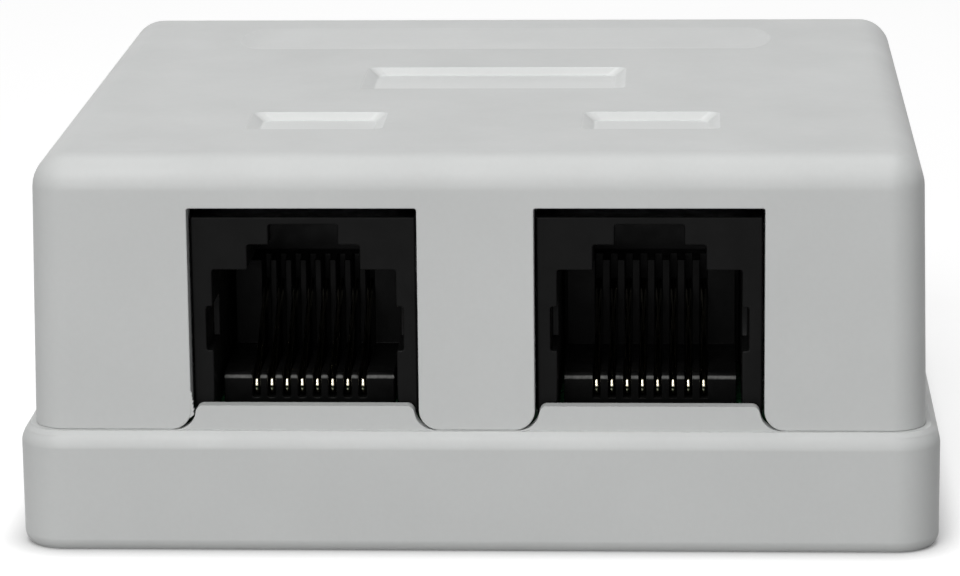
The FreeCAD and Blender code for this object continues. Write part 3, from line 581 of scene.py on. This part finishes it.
def scoop_cutter(sizes, rear, top):
    """A wide cylinder with rounded ends that grazes the roof."""
    half = sizes.scoop_length / 2
    radius = (half ** 2 + sizes.scoop_depth ** 2) / (2 * sizes.scoop_depth)
    end = sizes.scoop_end
    fade = math.sqrt(2 * end * sizes.scoop_depth - sizes.scoop_depth ** 2)
    centre = Vector((0.0, rear - sizes.scoop_setback, top - sizes.scoop_depth + radius))
    across = Matrix.Translation(centre) @ Matrix.Rotation(math.pi / 2, 4, "Y")
    bm = bmesh.new()
    bmesh.ops.create_cone(
        bm,
        cap_ends=True,
        segments=360,
        radius1=radius,
        radius2=radius,
        depth=sizes.scoop_width + 2 * (end - fade),
        matrix=across,
    )
    rims = [edge for edge in bm.edges if abs(edge.verts[0].co.x - edge.verts[1].co.x) < MICRON]
    bevel(bm, rims, end, segments=24)
    return to_object(bm, "scoop cutter")


def tab_section(sizes, half):
    """A snap tab's section: it hangs inside the base's wall and blends into the cover's."""
    outer = half - sizes.tab_wall - sizes.tab_gap
    inner = outer - sizes.tab_thickness
    seam = sizes.seam
    return [
        (outer, seam + sizes.tab_thickness),
        (outer, seam + sizes.tab_lead - sizes.tab_drop),
        (outer - sizes.tab_lead, seam - sizes.tab_drop),
        (inner, seam - sizes.tab_drop),
        (inner, seam + sizes.tab_rise - sizes.tab_thickness),
        (outer, seam + sizes.tab_rise),
    ]


def tabs(sizes, base_half_width, base_half_depth):
    """The two snap tabs of each side and the two at the rear."""
    pieces = []
    half_tab = sizes.tab_width / 2
    for side in (-1, 1):
        for end in (-1, 1):
            bm = bmesh.new()
            section = [(side * x, z) for x, z in tab_section(sizes, base_half_width)]
            middle = end * sizes.side_tab_spacing / 2
            add_prism(bm, section, 1, middle - half_tab, middle + half_tab)
            pieces.append(to_object(bm, "side tab"))
        bm = bmesh.new()
        middle = side * sizes.rear_tab_spacing / 2
        add_prism(bm, tab_section(sizes, base_half_depth), 0, middle - half_tab, middle + half_tab)
        pieces.append(to_object(bm, "rear tab"))
    return pieces


def ribs(sizes, roof):
    """The ribs that hang from the roof and keep the jacks down."""
    pieces = []
    jack_low, jack_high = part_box("left_jack_housing")
    reach = Vector((sizes.rib_width, sizes.rib_thickness)) / 2
    for _, sign in SIDES:
        for count in range(2):
            x = sign * sizes.port_spacing / 2
            y = jack_low.y + sizes.rib_setback + count * sizes.rib_spacing
            bm = bmesh.new()
            low = (x - reach.x, y - reach.y, jack_high.z + sizes.rib_gap)
            add_box(bm, low, (x + reach.x, y + reach.y, roof + sizes.rib_gap))
            pieces.append(to_object(bm, "rib"))
    return pieces


def make_cover(sizes, satin, polished_and_painted_lighter, scoop_rubbed_and_painted_lighter):
    """The cover, with its own finish in the recesses and in the scoop; both are painted paler than the
    roof, as painted light.
    """
    low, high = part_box("cover")
    base_low, base_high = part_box("base")
    floor = Vector((low.x, low.y, sizes.seam))
    outer = cover_block("cover_shell", floor, high, sizes.draft, sizes.round, segments=10, rounded_top=True)
    outer.data.materials.append(satin)
    inner_low = (low.x + sizes.wall, low.y + sizes.wall, sizes.seam - MM)
    inner_high = (high.x - sizes.wall, high.y - sizes.wall, high.z - sizes.wall)
    inner = cover_block("hollow", inner_low, inner_high, sizes.draft, sizes.inner_corner, segments=5)
    combine(outer, [inner], "DIFFERENCE")
    combine(outer, tabs(sizes, base_high.x, base_high.y), "UNION")
    combine(outer, ribs(sizes, high.z - sizes.wall), "UNION")
    combine(outer, [port_cutter(sizes, sign, low.y) for _, sign in SIDES], "DIFFERENCE")
    scoop = scoop_cutter(sizes, high.y, high.z)
    scoop.data.materials.append(scoop_rubbed_and_painted_lighter)
    combine(outer, [scoop], "DIFFERENCE")
    half = sizes.port_spacing / 2
    side = sizes.side_pocket_setback, sizes.side_pocket_width, sizes.side_pocket_length
    centre = sizes.centre_pocket_setback, sizes.centre_pocket_width, sizes.centre_pocket_length
    recesses = []
    for x, (setback, width, depth) in ((-half, side), (half, side), (0.0, centre)):
        recess = recess_cutter(sizes, x, low.y + setback + depth / 2, width, depth, high.z)
        recess.data.materials.append(polished_and_painted_lighter)
        recesses.append(recess)
    combine(outer, recesses, "DIFFERENCE")
    soften(outer, sizes.edge)
    return outer


def make_flash(sizes, cover_front):
    """The ragged flash that the mould left at the foot of the left port's outer edge."""
    jamb = -sizes.port_spacing / 2 - sizes.port_width / 2
    foot = sizes.seam + sizes.flash_foot
    front = cover_front + math.tan(sizes.draft) * (sizes.flash_foot + sizes.flash_height)
    corners = [(jamb - sizes.flash_thickness, foot)]
    for number, share in enumerate(FLASH_EDGE):
        z = foot + number * sizes.flash_height / len(FLASH_EDGE)
        corners.append((jamb + share * sizes.flash_reach, z))
    corners.append((jamb - sizes.flash_thickness, foot + sizes.flash_height))
    bm = bmesh.new()
    add_prism(bm, corners, 1, front, front + sizes.flash_thickness)
    return to_object(bm, "port_flash")


# ---- base ----

def round_base(base, sizes):
    """Softens the bevels that run round the base's rim and foot."""
    _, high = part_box("base")
    across, back = high.x - sizes.outer_reach, high.y - sizes.outer_reach
    bm = bmesh.new()
    bm.from_mesh(base.data)
    for level, radius in ((sizes.rim_level, sizes.rim_round), (sizes.foot_level, sizes.foot_round)):
        loop = []
        for edge in bm.edges:
            middle = (edge.verts[0].co + edge.verts[1].co) / 2
            flat = all(abs(vert.co.z - level) < NEAR for vert in edge.verts)
            outer = abs(middle.x) > across or abs(middle.y) > back
            if flat and outer and any(0.5 < abs(face.normal.z) < 0.9 for face in edge.link_faces):
                loop.append(edge)
        bevel(bm, loop, radius, segments=5, clamp=False)
    bm.to_mesh(base.data)
    bm.free()


# ---- contacts ----

def make_wire(name, start, legs, radius, bend):
    """A round wire: each leg is a straight length and the turn, in the YZ plane, that follows it."""
    bm = bmesh.new()
    heading = Vector((0.0, 0.0, 1.0))
    place = Vector(start)
    foot = Matrix.Translation(place)
    bmesh.ops.create_circle(bm, cap_ends=True, segments=14, radius=radius, matrix=foot)
    edges = list(bm.edges)
    for straight, turn in legs:
        pulled = bmesh.ops.extrude_edge_only(bm, edges=edges)["geom"]
        verts = [item for item in pulled if isinstance(item, bmesh.types.BMVert)]
        edges = [item for item in pulled if isinstance(item, bmesh.types.BMEdge)]
        bmesh.ops.translate(bm, vec=heading * straight, verts=verts)
        place = place + heading * straight
        if turn:
            side = Vector((0.0, -heading.z, heading.y)) * math.copysign(1.0, turn)
            centre = place + side * bend
            spun = bmesh.ops.spin(
                bm,
                geom=edges,
                cent=centre,
                axis=(1.0, 0.0, 0.0),
                dvec=(0.0, 0.0, 0.0),
                angle=turn,
                steps=8,
                use_merge=False,
                use_duplicate=False,
            )["geom_last"]
            edges = [item for item in spun if isinstance(item, bmesh.types.BMEdge)]
            swing = Matrix.Rotation(turn, 3, "X")
            place = centre + swing @ (place - centre)
            heading = swing @ heading
    bmesh.ops.contextual_create(bm, geom=edges)
    piece = to_object(bm, name)
    piece.data.shade_smooth()
    return piece


def wire_legs(sizes, jack_low, foot, tail_y):
    """Up through the board, forward to the nose, and round it into the sprung rise."""
    bend, rise = sizes.wire_bend, sizes.wire_rise
    level = jack_low.z + sizes.wire_height + sizes.wire_radius
    nose_y = jack_low.y + sizes.nose_setback + bend
    tip_y = jack_low.y + sizes.tip_setback
    return [
        (level - bend - foot, math.pi / 2),
        (tail_y - bend - nose_y, -(math.pi - rise)),
        ((tip_y - nose_y - bend * math.sin(rise)) / math.cos(rise), 0.0),
    ]


# ---- solder ----

def add_cone(bm, place, foot, tip, height):
    """An upright cone or disc about its middle, from the radius at its foot to that at its tip."""
    bmesh.ops.create_cone(
        bm,
        cap_ends=True,
        segments=24,
        radius1=foot,
        radius2=tip,
        depth=height,
        matrix=Matrix.Translation(place),
    )


def make_solder(side, sizes, wire_radius):
    """The pads and solder joints round every tail that passes through a board."""
    board_low, board_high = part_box(f"{side}_circuit_board")
    spots = []
    for number in WIRES:
        low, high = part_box(f"{side}_contact_{number}")
        spots.append(((low.x + high.x) / 2, high.y - wire_radius))
    for row in ROWS:
        for number in BLADES:
            low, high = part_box(f"{side}_{row}_idc_contact_{number}")
            spots.append(((low.x + high.x) / 2, (low.y + high.y) / 2))
    bm = bmesh.new()
    for x, y in spots:
        pad_z = board_high.z + sizes.pad_height / 2 - sizes.sink
        add_cone(bm, (x, y, pad_z), sizes.pad_radius, sizes.pad_radius, sizes.pad_height)
        joint_z = board_low.z - sizes.joint_height / 2 + sizes.sink
        add_cone(bm, (x, y, joint_z), sizes.joint_foot, sizes.joint_root, sizes.joint_height)
    piece = to_object(bm, f"{side}_solder_joints")
    piece.data.shade_smooth()
    piece.modifiers.new("face weights", "WEIGHTED_NORMAL")
    return piece


# ---- operators ----

def housing_finish(colours):
    return housing_material("moulded housing", colours.housing, 0.40, 0.54)


def tin_finish(colours):
    return metal_material("bright tin", colours.tin, 0.18, 0.34, 1100.0, 2.0 * MICRON)


def paler(tone, factor):
    return [factor * channel for channel in tone]


class JACKBOX_OT_cover(bpy.types.Operator):
    """Makes the lift-off cover"""
    bl_idname = "jackbox.cover"
    bl_label = "Cover"

    def execute(self, context):
        settings = context.scene.jack_box
        housing = settings.colours.housing
        satin = housing_finish(settings.colours)
        # Recess floors: painted paler, a painted reflection of the bright surround; their lower roughness
        # and fainter grain are their own polish.
        polished_and_painted_lighter = housing_material("polished recess", paler(housing, 1.13), 0.30, 0.38, relief=0.1)
        # Scoop: painted a little paler, painted light on its slopes; its lower roughness is its own rubbed
        # finish.
        scoop_rubbed_and_painted_lighter = housing_material("rubbed scoop", paler(housing, 1.035), 0.34, 0.46)
        cover = make_cover(settings.cover, satin, polished_and_painted_lighter, scoop_rubbed_and_painted_lighter)
        dress(cover, "cover", ["cover"], "housing_plastic")
        low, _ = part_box("cover")
        flash = make_flash(settings.cover, low.y)
        dress(flash, "cover", [], "housing_plastic", satin)
        return {"FINISHED"}


class JACKBOX_OT_base(bpy.types.Operator):
    """Makes the tray base"""
    bl_idname = "jackbox.base"
    bl_label = "Base"

    def execute(self, context):
        settings = context.scene.jack_box
        base = merged_copy("base", "base_tray")
        round_base(base, settings.base)
        soften(base, settings.edges.base, segments=3)
        dress(base, "base", ["base"], "housing_plastic", housing_finish(settings.colours))
        return {"FINISHED"}


class JACKBOX_OT_jacks(bpy.types.Operator):
    """Makes the jack housings and their contact carriers"""
    bl_idname = "jackbox.jacks"
    bl_label = "Jacks"

    def execute(self, context):
        settings = context.scene.jack_box
        sizes, edges, colours = settings.jack, settings.edges, settings.colours
        low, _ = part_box("left_contact_carrier")
        # The front comb of each carrier gets a painted glint along its top edge.
        lip_glint = low.y, low.z + sizes.lip_rise, sizes.lip_glint_reach, colours.rubbed
        housing = jack_material("black jack plastic", colours.jack, 0.08)
        carrier = jack_material("black carrier plastic", colours.jack, 0.05, lip_glint)
        kinds = (("jack_housing", edges.jack, housing), ("contact_carrier", edges.carrier, carrier))
        for side, _ in SIDES:
            for kind, width, plastic in kinds:
                node = f"{side}_{kind}"
                piece = merged_copy(node, f"{node}_piece")
                soften(piece, width)
                dress(piece, "base", [node], "jack_plastic", plastic)
        return {"FINISHED"}


class JACKBOX_OT_contacts(bpy.types.Operator):
    """Makes the sprung contact wires"""
    bl_idname = "jackbox.contacts"
    bl_label = "Contact wires"

    def execute(self, context):
        settings = context.scene.jack_box
        sizes = settings.jack
        gold = metal_material("gold plating", settings.colours.gold, 0.05, 0.12, 900.0, MICRON)
        for side, _ in SIDES:
            jack_low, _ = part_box(f"{side}_jack_housing")
            for number in WIRES:
                node = f"{side}_contact_{number}"
                low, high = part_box(node)
                x = (low.x + high.x) / 2
                tail_y = jack_low.y + sizes.tail_setback
                if number % 2 == 0:
                    tail_y += sizes.tail_stagger
                legs = wire_legs(sizes, jack_low, low.z, tail_y)
                start = (x, tail_y, low.z)
                wire = make_wire(f"{node}_wire", start, legs, sizes.wire_radius, sizes.wire_bend)
                dress(wire, "base", [node], "gold_wire", gold)
        return {"FINISHED"}


class JACKBOX_OT_boards(bpy.types.Operator):
    """Makes the circuit boards and their solder joints"""
    bl_idname = "jackbox.boards"
    bl_label = "Boards"

    def execute(self, context):
        settings = context.scene.jack_box
        mask = mask_material(settings.colours.mask)
        tin = tin_finish(settings.colours)
        for side, _ in SIDES:
            node = f"{side}_circuit_board"
            piece = merged_copy(node, f"{node}_piece")
            soften(piece, settings.edges.board)
            dress(piece, "base", [node], "board_laminate", mask)
            solder = make_solder(side, settings.solder, settings.jack.wire_radius)
            dress(solder, "base", [], "tinned_blade", tin)
        return {"FINISHED"}


class JACKBOX_OT_blocks(bpy.types.Operator):
    """Makes the punch-down blocks, their blades and the wire caps"""
    bl_idname = "jackbox.blocks"
    bl_label = "Punch-down blocks"

    def execute(self, context):
        settings = context.scene.jack_box
        edges = settings.edges
        plastic = block_material("block plastic", settings.colours.block)
        cap_plastic = block_material("cap plastic", settings.colours.cap)
        tin = tin_finish(settings.colours)
        for side, _ in SIDES:
            for row in ROWS:
                name = f"{side}_{row}"
                block = merged_copy(f"{name}_idc_block", f"{name}_block_piece")
                soften(block, edges.block)
                dress(block, "base", [f"{name}_idc_block"], "block_plastic", plastic)
                cap = merged_copy(f"{name}_wire_cap", f"{name}_cap_piece")
                soften(cap, edges.cap)
                dress(cap, f"{name}_wire_cap", [f"{name}_wire_cap"], "cap_plastic", cap_plastic)
                for number in BLADES:
                    node = f"{name}_idc_contact_{number}"
                    blade = merged_copy(node, f"{node}_blade")
                    soften(blade, edges.blade)
                    dress(blade, "base", [node], "tinned_blade", tin)
        return {"FINISHED"}


class JACKBOX_OT_screws(bpy.types.Operator):
    """Makes the board screws"""
    bl_idname = "jackbox.screws"
    bl_label = "Board screws"

    def execute(self, context):
        settings = context.scene.jack_box
        screws = merged_copy("board_screws", "board_screws_piece")
        soften(screws, settings.edges.screw)
        zinc = metal_material("zinc plating", settings.colours.zinc, 0.26, 0.42, 700.0, 3.0 * MICRON)
        dress(screws, "base", ["board_screws"], "plated_steel", zinc)
        return {"FINISHED"}


class JACKBOX_OT_stage(bpy.types.Operator):
    """Sets up the table, the lights and the camera"""
    bl_idname = "jackbox.stage"
    bl_label = "Stage"

    def execute(self, context):
        settings = context.scene.jack_box
        make_floor(settings.colours.floor)
        make_world(context)
        make_lights()
        make_camera(context, settings.stage)
        return {"FINISHED"}


# ---- stage ----

def make_floor(tone):
    """The table: one wide flat square."""
    bm = bmesh.new()
    bmesh.ops.create_grid(bm, x_segments=1, y_segments=1, size=3.0)
    floor = to_object(bm, "table")
    floor.data.materials.append(floor_material(tone))


def make_world(context):
    """A white surround for the eye and for shine, which adds only a little light."""
    world = context.scene.world or bpy.data.worlds.new("studio")
    context.scene.world = world
    world.use_nodes = True
    tree = world.node_tree
    tree.nodes.clear()
    output = tree.nodes.new("ShaderNodeOutputWorld")
    ambient = tree.nodes.new("ShaderNodeBackground")
    ambient.inputs["Color"].default_value = (1.0, 1.0, 1.0, 1.0)
    seen = tree.nodes.new("ShaderNodeBackground")
    seen.inputs["Color"].default_value = (1.0, 1.0, 1.0, 1.0)
    ambient.inputs["Strength"].default_value = 0.05
    seen.inputs["Strength"].default_value = 1.0
    mix = tree.nodes.new("ShaderNodeMixShader")
    tree.links.new(seen_rays(tree), mix.inputs["Fac"])
    tree.links.new(ambient.outputs["Background"], mix.inputs[1])
    tree.links.new(seen.outputs["Background"], mix.inputs[2])
    tree.links.new(mix.outputs["Shader"], output.inputs["Surface"])
    context.scene.view_settings.view_transform = "Standard"


def make_lamp(name, place, target, width, height, power):
    """A soft rectangular lamp that points at a target."""
    lamp = bpy.data.lights.new(name, "AREA")
    lamp.shape = "RECTANGLE"
    lamp.size = width
    lamp.size_y = height
    lamp.energy = power
    holder = bpy.data.objects.new(name, lamp)
    holder.location = place
    holder.rotation_euler = (Vector(target) - Vector(place)).to_track_quat("-Z", "Y").to_euler()
    bpy.context.scene.collection.objects.link(holder)


def make_lights():
    """The lamps, each aimed at the middle of the box."""
    middle = (CAD_LOW + CAD_HIGH) / 2
    for name, place, width, height, power in LAMPS:
        make_lamp(name, place, middle, width, height, power)


def make_camera(context, stage):
    """The scene's camera, in front of the box and a little to its right."""
    camera = bpy.data.objects.new("camera", bpy.data.cameras.new("camera"))
    camera.data.sensor_width = 36.0
    camera.data.lens = stage.lens
    camera.data.clip_start = 10.0 * MM
    turned = Matrix.Rotation(stage.turn, 4, "Z") @ Matrix.Rotation(math.pi / 2 - stage.dip, 4, "X")
    place = Matrix.Translation((stage.camera_across, -stage.camera_back, stage.camera_up))
    camera.matrix_world = place @ turned @ Matrix.Rotation(stage.roll, 4, "Z")
    context.scene.collection.objects.link(camera)
    context.scene.camera = camera


# ---- panel and start ----

STEPS = ("cover", "base", "jacks", "contacts", "boards", "blocks", "screws", "stage")


class JACKBOX_PT_panel(bpy.types.Panel):
    """Lists the box's pieces"""
    bl_idname = "JACKBOX_PT_panel"
    bl_label = "Jack Box"
    bl_space_type = "VIEW_3D"
    bl_region_type = "UI"
    bl_category = "Jack Box"

    def draw(self, context):
        for step in STEPS:
            self.layout.operator(f"jackbox.{step}")


CLASSES = (
    CoverSizes,
    BaseSizes,
    JackSizes,
    SolderSizes,
    EdgeSizes,
    FinishColours,
    StageSettings,
    JackBoxSettings,
    JACKBOX_OT_cover,
    JACKBOX_OT_base,
    JACKBOX_OT_jacks,
    JACKBOX_OT_contacts,
    JACKBOX_OT_boards,
    JACKBOX_OT_blocks,
    JACKBOX_OT_screws,
    JACKBOX_OT_stage,
    JACKBOX_PT_panel,
)


def register():
    for cls in CLASSES:
        bpy.utils.register_class(cls)
    bpy.types.Scene.jack_box = PointerProperty(type=JackBoxSettings)


def unregister():
    del bpy.types.Scene.jack_box
    for cls in reversed(CLASSES):
        bpy.utils.unregister_class(cls)


def main():
    register()
    for step in STEPS:
        getattr(bpy.ops.jackbox, step)()


if __name__ == "__main__":
    main()
